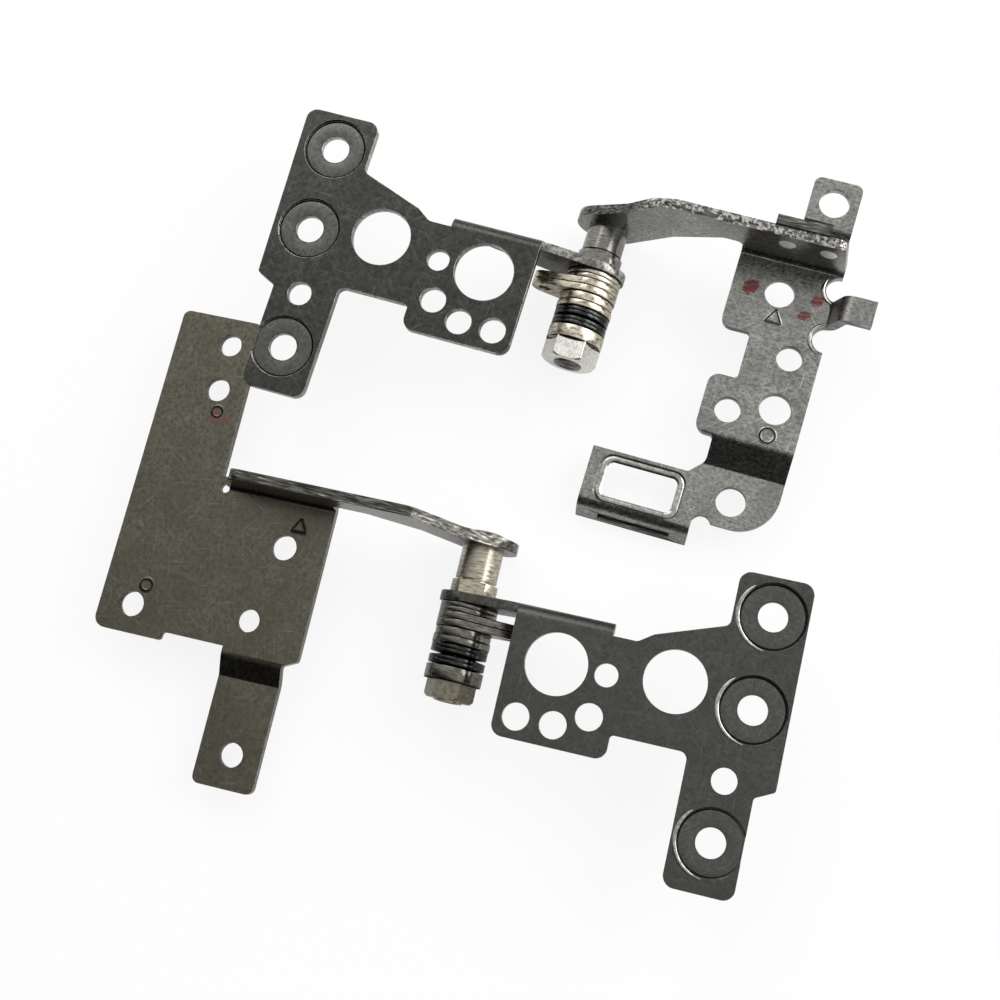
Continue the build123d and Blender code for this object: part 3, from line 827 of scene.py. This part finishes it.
    def scribble(self, name: str, centre: Point, size: Point, turn_deg: float, level: float,
                 finish: PaintFinish) -> Piece:
        """Patch of short crayon strokes side by side.

        Stroke k lies at v = 2 * k / (n - 1) - 1 across the patch, is as long as the ellipse there,
        sqrt(1 - 0.85 * v * v), and is shifted along itself by a sine of k. Its rims waver as sines
        along it, and its height is the parabola 1 - t * t across it.

        Args:
            name: name of the piece.
            centre: place of the patch in the hand frame, in millimetres.
            size: its length along the strokes and its width, in millimetres.
            turn_deg: turn of the strokes, in degrees.
            level: height of the face, in millimetres.
            finish: the paint.

        Returns:
            The patch.
        """
        count, steps = 7, 24
        k = np.arange(count)[:, None, None]
        u = np.linspace(-1, 1, steps)[None, :, None]
        t = np.linspace(-1, 1, 5)[None, None, :]
        v = 2 * k / (count - 1) - 1
        reach = np.sqrt(1 - 0.85 * v * v) * (0.92 + 0.08 * np.sin(5.1 * k + centre[0]))
        along = size[0] / 2 * (u * reach + 0.06 * np.sin(2.3 * k + centre[1]))
        taper = np.sqrt(np.clip(1 - u ** 4, 0, 1)) * (0.75 + 0.25 * np.sin(9 * u + 3 * k))
        bow = 0.06 * np.sin(4 * u + 1.7 * k)
        across = size[1] / 2 * v + bow + t * taper * 0.95 * size[1] / count
        turn = math.radians(turn_deg)
        x = centre[0] + along * math.cos(turn) - across * math.sin(turn)
        y = centre[1] + along * math.sin(turn) + across * math.cos(turn)
        height = level + 0.012 * (1 - t * t) + 0.004 * (k % 2) + 0 * x
        points = self.hand.place(x, y, height)
        one = grid_faces(steps, t.size, False)
        faces = (one[None, :, :] + (np.arange(count) * steps * t.size)[:, None, None]).reshape(-1, 4)
        piece = new_piece(name, points, faces, finish.material())
        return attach(piece, self.body)

    def dab(self, name: str, centre: Point, size: Point, turn_deg: float, level: float,
            finish: PaintFinish) -> Piece:
        """Thin dab of paint with a ragged rim.

        In polar form: the rim's distance is a sum of sines of the angle, and the film's height
        falls to the face at the rim as 1 - r to the fourth power.

        Args:
            name: name of the piece.
            centre: place of the dab in the hand frame, in millimetres.
            size: its length and width, in millimetres.
            turn_deg: turn of its length, in degrees.
            level: height of the face, in millimetres.
            finish: the paint.

        Returns:
            The dab.
        """
        around = np.linspace(0, 2 * np.pi, 72, endpoint=False)[None, :]
        out = np.linspace(0, 1, 9)[:, None]
        rim = 1 + 0.16 * np.sin(3 * around + centre[0]) + 0.1 * np.sin(7 * around + centre[1])
        rim = rim + 0.06 * np.sin(13 * around + 2 * centre[0])
        u, v = out * rim * np.cos(around) * size[0] / 2, out * rim * np.sin(around) * size[1] / 2
        turn = math.radians(turn_deg)
        x = centre[0] + u * math.cos(turn) - v * math.sin(turn)
        y = centre[1] + u * math.sin(turn) + v * math.cos(turn)
        height = level + 0.02 * (1 - out ** 4) + 0 * x
        points = self.hand.place(x, y, height)
        piece = new_piece(name, points, grid_faces(out.size, around.size, True), finish.material())
        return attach(piece, self.body)


@dataclass
class BaseBracket:
    """T-shaped base bracket with coined screw seats."""

    side: Side
    finish: SteelFinish
    cut: SteelFinish
    # Painted highlight: a bright raised crescent on one side of each seat's recess wall, where light
    # catches it.
    highlight_crescent_deg: Optional[Point] = None
    highlight_crescent_radius_mm: float = 3.55
    highlight_crescent_mm: Point = (0.42, 0.06)
    seat_edges_mm: Triple = (-3.9, -3.7, -1.7)
    seat_floor_mm: float = 9.1
    top_mm: float = 9.4
    bevel_mm: float = 0.2

    def build(self) -> list[Piece]:
        """Dress the plate and its seats.

        Returns:
            The new pieces.
        """
        side = self.side.value
        plate = f"{side}_base_bracket"
        pieces = [dressed(plate, self.finish, self.bevel_mm, SheetRule(self.cut, rims_in_edge_finish=True))]
        marks = PlateMarks(HandFrame.of(self.side), frame["nodes"][plate]["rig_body"])
        for number, (seat, edge_x) in enumerate(zip(SEATS, self.seat_edges_mm), 1):
            name = f"{side}_seat_{number}"
            pieces += marks.seat(name, seat, edge_x, self.seat_floor_mm)
            # Painted highlight crescent on the lit side of the seat's wall.
            if self.highlight_crescent_deg:
                pieces.append(marks.arc(f"{name}_crescent", seat, self.highlight_crescent_radius_mm,
                                        self.highlight_crescent_deg, self.top_mm, self.highlight_crescent_mm))
        return pieces


@dataclass
class ScreenBracket:
    """Folded screen bracket with its punch marks and paint."""

    side: Side
    finish: SteelFinish
    cut: ShearedFinish
    punches: tuple[tuple[Mark, Point, float], ...]
    dabs: tuple[tuple[Point, Point, float], ...] = ()
    scribbles: tuple[tuple[Point, Point, float], ...] = ()
    notches: tuple[tuple[Point, Point], ...] = ()
    window: Optional[tuple[Point, Point, float]] = None
    # Painted highlight: raised rims along one side of each relief notch, in the pale bead finish.
    notch_rim_radius_mm: float = 1.76
    notch_rim_mm: Point = (0.44, 0.12)
    top_mm: float = 4.7
    bevel_mm: float = 0.14

    def build(self) -> list[Piece]:
        """Dress the sheet and add its marks.

        Returns:
            The new pieces.
        """
        side = self.side.value
        plate = f"{side}_screen_bracket"
        pieces = [dressed(plate, self.finish, self.bevel_mm, SheetRule(self.cut))]
        marks = PlateMarks(HandFrame.of(self.side), frame["nodes"][plate]["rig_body"])
        for number, (mark, centre, radius) in enumerate(self.punches, 1):
            draw = marks.ring if mark is Mark.RING else marks.triangle
            name = f"{side}_punch_{mark.value}_{number}"
            pieces += draw(name, centre, radius, self.top_mm, self.finish)
        for number, (centre, size, turn) in enumerate(self.dabs, 1):
            name = f"{side}_paint_dab_{number}"
            pieces.append(marks.dab(name, centre, size, turn, self.top_mm, FAINT_PAINT))
        for number, (centre, size, turn) in enumerate(self.scribbles, 1):
            name = f"{side}_paint_scribble_{number}"
            pieces.append(marks.scribble(name, centre, size, turn, self.top_mm, RED_PAINT))
        # Painted highlight rims on one side of the notches.
        for number, (centre, sweep) in enumerate(self.notches, 1):
            name = f"{side}_notch_rim_{number}"
            pieces.append(marks.arc(name, centre, self.notch_rim_radius_mm, sweep, self.top_mm,
                                    self.notch_rim_mm))
        # The window bead: a rolled lip whose pale finish is partly a painted highlight.
        if self.window:
            pieces.append(marks.window_bead(f"{side}_window_bead", *self.window))
        return pieces


@dataclass
class FrictionStack:
    """Shaft, washers, disc springs and lock nut of one hinge."""

    side: Side
    shaft: SteelFinish
    washer: SteelFinish
    nut: SteelFinish
    end_y: float
    axis_mm: Point = (30.5, 3.6)
    thread_mm: float = 1.44
    washer_mm: float = 3.05
    bevel_mm: float = 0.08
    springs: int = 4
    washers: tuple[str, ...] = ("wear_washer", "thrust_washer", "lug_washer_inner", "lug_washer_outer",
                                "keyed_collar", "keyed_washer", "pressure_washer")

    def joint_shade_line(self, node: str) -> Piece:
        """Painted shade: a dark line where a washer meets its neighbour on the nut's side.

        A narrow band on the cylinder of the washer, at the nut-side end of the node's own points.

        Args:
            node: name of the washer's CAD node.

        Returns:
            The band.
        """
        hand = HandFrame.of(self.side)
        source = frame["nodes"][node].data
        points = np.zeros(3 * len(source.vertices))
        source.vertices.foreach_get("co", points)
        plan = points.reshape(-1, 3)[:, :2] / MM - np.array(hand.origin)
        face_y = float((plan @ np.array(hand.along)).min())
        around = np.linspace(0, 2 * np.pi, 72, endpoint=False)[None, :]
        t = np.linspace(-1, 1, 5)[:, None]
        sunk, hollow, half_width = 0.02, 0.04, 0.1
        radius = self.washer_mm - sunk - hollow * t * t
        x = self.axis_mm[0] + radius * np.cos(around)
        z = self.axis_mm[1] + radius * np.sin(around)
        band = hand.place(x, face_y + half_width * t + 0 * x, z)
        name = f"{node}_joint_shade_line"
        piece = new_piece(name, band, grid_faces(t.size, around.size, True), SHADE_LINE_STEEL.material())
        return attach(piece, frame["nodes"][node]["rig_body"])

    def shaft_end(self) -> Piece:
        """Dark end of the thread, a cap of ring-shaped waves.

        In polar form the cap stands out from the shaft's end by 0.04 * (1 + cos(3 * 2 pi * r))
        of a millimetre, with r from 0 to 1, and meets the end at its rim.

        Returns:
            The cap.
        """
        around = np.linspace(0, 2 * np.pi, 48, endpoint=False)[None, :]
        out = np.linspace(0, 1, 25)[:, None]
        proud = 0.04 * (1 + np.cos(6 * np.pi * out)) * np.minimum(1, 8 * (1 - out))
        x = self.axis_mm[0] + self.thread_mm * out * np.cos(around)
        z = self.axis_mm[1] + self.thread_mm * out * np.sin(around)
        y = self.end_y - proud + 0 * x
        points = HandFrame.of(self.side).place(x, y, z)
        name = f"{self.side.value}_thread_end"
        piece = new_piece(name, points, grid_faces(out.size, around.size, True), BLACK_OXIDE.material())
        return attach(piece, frame["nodes"][f"{self.side.value}_hinge_shaft"]["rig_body"])

    def build(self) -> list[Piece]:
        """Dress every piece of the stack.

        Returns:
            The new pieces.
        """
        side = self.side.value
        pieces = [dressed(f"{side}_hinge_shaft", self.shaft, self.bevel_mm), self.shaft_end()]
        pieces += [dressed(f"{side}_{name}", self.washer, self.bevel_mm) for name in self.washers]
        pieces += [self.joint_shade_line(f"{side}_{name}") for name in self.washers]
        pieces.append(dressed(f"{side}_lock_nut", self.nut, self.bevel_mm))
        for number in range(1, self.springs + 1):
            pieces.append(dressed(f"{side}_disc_spring_{number}", BLACK_OXIDE, self.bevel_mm))
        return pieces


@dataclass
class CableTab:
    """Riveted tab behind the right wall."""

    bevel_mm: float = 0.08

    def build(self) -> list[Piece]:
        """Dress the tab and its two rivets.

        Returns:
            The new pieces.
        """
        pieces = [dressed("right_cable_tab", RIGHT_STEEL, self.bevel_mm, SheetRule(DRAGGED_STEEL))]
        rivets = ("right_tab_rivet_inner", "right_tab_rivet_outer")
        # The rivet heads' near-white finish is partly a painted glint.
        return pieces + [dressed(name, RIVET_GLINT_STEEL, self.bevel_mm) for name in rivets]


# Studio


@dataclass
class Studio:
    """Pale floor, soft light and the camera above the pair."""

    camera_mm: Triple = (25.353, -27.022, 154.612)
    lens_mm: float = 52.276
    sensor_mm: float = 36.0
    tilt_deg: Point = (-11.4654, 5.76058)
    plan_turn_deg: float = 15.2
    floor_m: float = 1.2
    floor_level_m: float = -2e-5
    shadow_share: float = 0.13
    mirror_share: float = 0.75
    bright_side: Point = (0.6, -0.8)
    overhead_tones: tuple[Point, ...] = ((0.0, 0.02), (0.25, 0.06), (0.38, 0.45), (0.46, 1.0),
                                         (0.56, 1.0), (1.0, 0.8))

    def photo_axes(self) -> np.ndarray:
        """Axes of the picture's plan.

        Returns:
            Its right, down and depth, as rows in the pair's frame.
        """
        turn = math.radians(self.plan_turn_deg)
        return np.array([
            [math.cos(turn), math.sin(turn), 0],
            [math.sin(turn), -math.cos(turn), 0],
            [0, 0, -1],
        ])

    def camera(self) -> bpy.types.Object:
        """Place the camera.

        Returns:
            The camera, set as the scene's own.
        """
        about_x, about_y = (math.radians(angle) for angle in self.tilt_deg)
        tilt = np.array(Matrix.Rotation(about_x, 3, "X") @ Matrix.Rotation(about_y, 3, "Y"))
        right, down, forward = tilt @ self.photo_axes()
        data = bpy.data.cameras.new("camera")
        data.lens = self.lens_mm
        data.sensor_width = self.sensor_mm
        data.clip_start = 0.005
        data.clip_end = 10.0
        camera = bpy.data.objects.new("camera", data)
        bpy.context.scene.collection.objects.link(camera)
        turn = Matrix(np.stack([right, -down, -forward], axis=1).tolist()).to_4x4()
        camera.matrix_world = Matrix.Translation([v * MM for v in self.camera_mm]) @ turn
        bpy.context.scene.camera = camera
        return camera

    def floor(self) -> bpy.types.Object:
        """Thin pale floor that keeps a faint shadow and lets a swung-down bracket show.

        Returns:
            The floor.
        """
        half = self.floor_m / 2
        x, y = np.array([-half, half, half, -half]), np.array([-half, -half, half, half])
        points = np.stack([x, y, np.full(4, self.floor_level_m)], axis=-1)
        material = bpy.data.materials.new("pale_floor")
        material.use_nodes = True
        graph = NodeGraph(material.node_tree)
        path = graph.add("ShaderNodeLightPath")
        clear = graph.add("ShaderNodeBsdfTransparent")
        pale = graph.add("ShaderNodeBsdfDiffuse", Color=(0.9, 0.9, 0.9, 1.0))
        lit = graph.spread(path.outputs["Is Diffuse Ray"], (0.0, self.shadow_share), (1.0, 1.0))
        mirrored = graph.spread(path.outputs["Is Glossy Ray"], (0.0, 0.0), (1.0, self.mirror_share))
        share = graph.join("MAXIMUM", lit, mirrored)
        mixed = graph.add("ShaderNodeMixShader", Fac=share)
        graph.tree.links.new(clear.outputs["BSDF"], mixed.inputs[1])
        graph.tree.links.new(pale.outputs["BSDF"], mixed.inputs[2])
        graph.finish(mixed)
        floor = new_piece("floor", points, np.array([[0, 1, 2, 3]]), material)
        return floor

    def world(self) -> None:
        """White surroundings; overhead a studio that is bright on one side and dark on the other.

        The overhead tone follows the cosine between a direction and the bright side. The camera,
        and reflections that look below the horizon, see the white ground.
        """
        world = bpy.data.worlds.new("studio")
        world.use_nodes = True
        bpy.context.scene.world = world
        graph = NodeGraph(world.node_tree)
        right, down, _ = self.photo_axes()
        bright = (self.bright_side[0] * right + self.bright_side[1] * down).tolist()
        place = graph.add("ShaderNodeTexCoord")
        toward = graph.tree.nodes.new("ShaderNodeVectorMath")
        toward.operation = "DOT_PRODUCT"
        graph.tree.links.new(place.outputs["Generated"], toward.inputs[0])
        toward.inputs[1].default_value = bright
        side = graph.spread(toward.outputs["Value"], (-1.0, 0.0), (1.0, 1.0))
        overhead = graph.ramp(side, [(at, (tone, tone, tone)) for at, tone in self.overhead_tones])
        parts = graph.add("ShaderNodeSeparateXYZ", Vector=place.outputs["Generated"])
        ground = graph.spread(parts.outputs["Z"], (0.04, 0.0), (-0.02, 1.0))
        ray = graph.add("ShaderNodeLightPath").outputs
        mirrored = graph.join("MAXIMUM", ray["Is Glossy Ray"], ray["Is Transmission Ray"])
        below = graph.join("MULTIPLY", mirrored, ground)
        white = graph.join("MAXIMUM", ray["Is Camera Ray"], below)
        colour = graph.mix(white, overhead, (1.0, 1.0, 1.0))
        background = graph.add("ShaderNodeBackground", Color=colour, Strength=1.0)
        graph.finish(background, "ShaderNodeOutputWorld")

    def lamp(self, name: str, toward: Triple, reach_m: float, size_m: float,
             watts: float) -> bpy.types.Object:
        """Soft square lamp that faces the pair.

        Args:
            name: name of the lamp.
            toward: direction from the pair, along the picture's right, down and up.
            reach_m: distance from the pair.
            size_m: side of the lamp.
            watts: its power.

        Returns:
            The lamp.
        """
        axes = self.photo_axes() * np.array([[1], [1], [-1]])
        direction = np.array(toward) @ axes
        direction = direction / np.linalg.norm(direction)
        data = bpy.data.lights.new(name, "AREA")
        data.size = size_m
        data.energy = watts
        lamp = bpy.data.objects.new(name, data)
        bpy.context.scene.collection.objects.link(lamp)
        facing = Vector(direction.tolist()).to_track_quat("Z", "Y").to_matrix().to_4x4()
        lamp.matrix_world = Matrix.Translation((direction * reach_m).tolist()) @ facing
        return lamp

    def build(self) -> None:
        """Set up the floor, light, camera and view."""
        self.floor()
        self.world()
        self.lamp("key", (1.0, -0.35, 0.55), 0.5, 0.4, 2.0)
        self.lamp("top", (-0.2, -1.0, 0.8), 0.5, 0.3, 0.8)
        self.camera()
        bpy.context.scene.view_settings.view_transform = "Standard"


def hinges() -> list[object]:
    """The pair's sub-assemblies, in the order in which they are built.

    Returns:
        One object with a build method for each sub-assembly.
    """
    left_screen = ScreenBracket(
        Side.LEFT, LEFT_STEEL, DRAGGED_STEEL,
        punches=(
            (Mark.RING, (62.5, 19.2), 0.6),
            (Mark.RING, (65.0, -0.9), 0.65),
            (Mark.TRIANGLE, (50.2, 8.6), 0.95),
        ),
        dabs=(((62.3, 18.7), (2.3, 1.6), 20.0),),
    )
    right_screen = ScreenBracket(
        Side.RIGHT, RIGHT_STEEL, BROKEN_GLINT_STEEL,
        punches=((Mark.TRIANGLE, (50.4, 4.75), 1.02), (Mark.RING, (53.1, -7.84), 0.8)),
        scribbles=(
            ((47.1, 7.6), (2.3, 1.25), 52.0),
            ((54.3, 7.8), (1.6, 0.95), 38.0),
            ((53.4, 5.9), (1.8, 0.8), 32.0),
        ),
        # Notch rims: painted highlights, given by their centres and the sweep of each arc.
        notches=(((56.3, 9.55), (148.0, 262.0)), ((56.3, 3.85), (98.0, 262.0))),
        window=((37.4, -18.68), (45.9, -14.12), 2.5),
    )
    return [
        # Left base bracket: its seats carry painted highlight crescents on one side.
        BaseBracket(Side.LEFT, LEFT_BASE_STEEL, DARK_EDGE, highlight_crescent_deg=(-85.0, 50.0)),
        # Right base bracket: its cut edges and rims carry a painted highlight.
        BaseBracket(Side.RIGHT, RIGHT_BASE_STEEL, HIGHLIGHT_EDGE_STEEL),
        left_screen,
        right_screen,
        FrictionStack(Side.LEFT, BARREL_NICKEL, DARK_NICKEL, DULL_NICKEL, end_y=-5.79),
        FrictionStack(Side.RIGHT, SHAFT_STEEL, NICKEL, BRIGHT_NICKEL, end_y=-5.84),
        CableTab(),
    ]


def main() -> None:
    """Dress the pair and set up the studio."""
    logging.basicConfig(level=logging.INFO, format="%(name)s: %(message)s")
    for assembly in hinges():
        for piece in assembly.build():
            LOG.info("%s: %d faces", piece.name, len(piece.data.polygons))
    Studio().build()


if __name__ == "__main__":
    main()
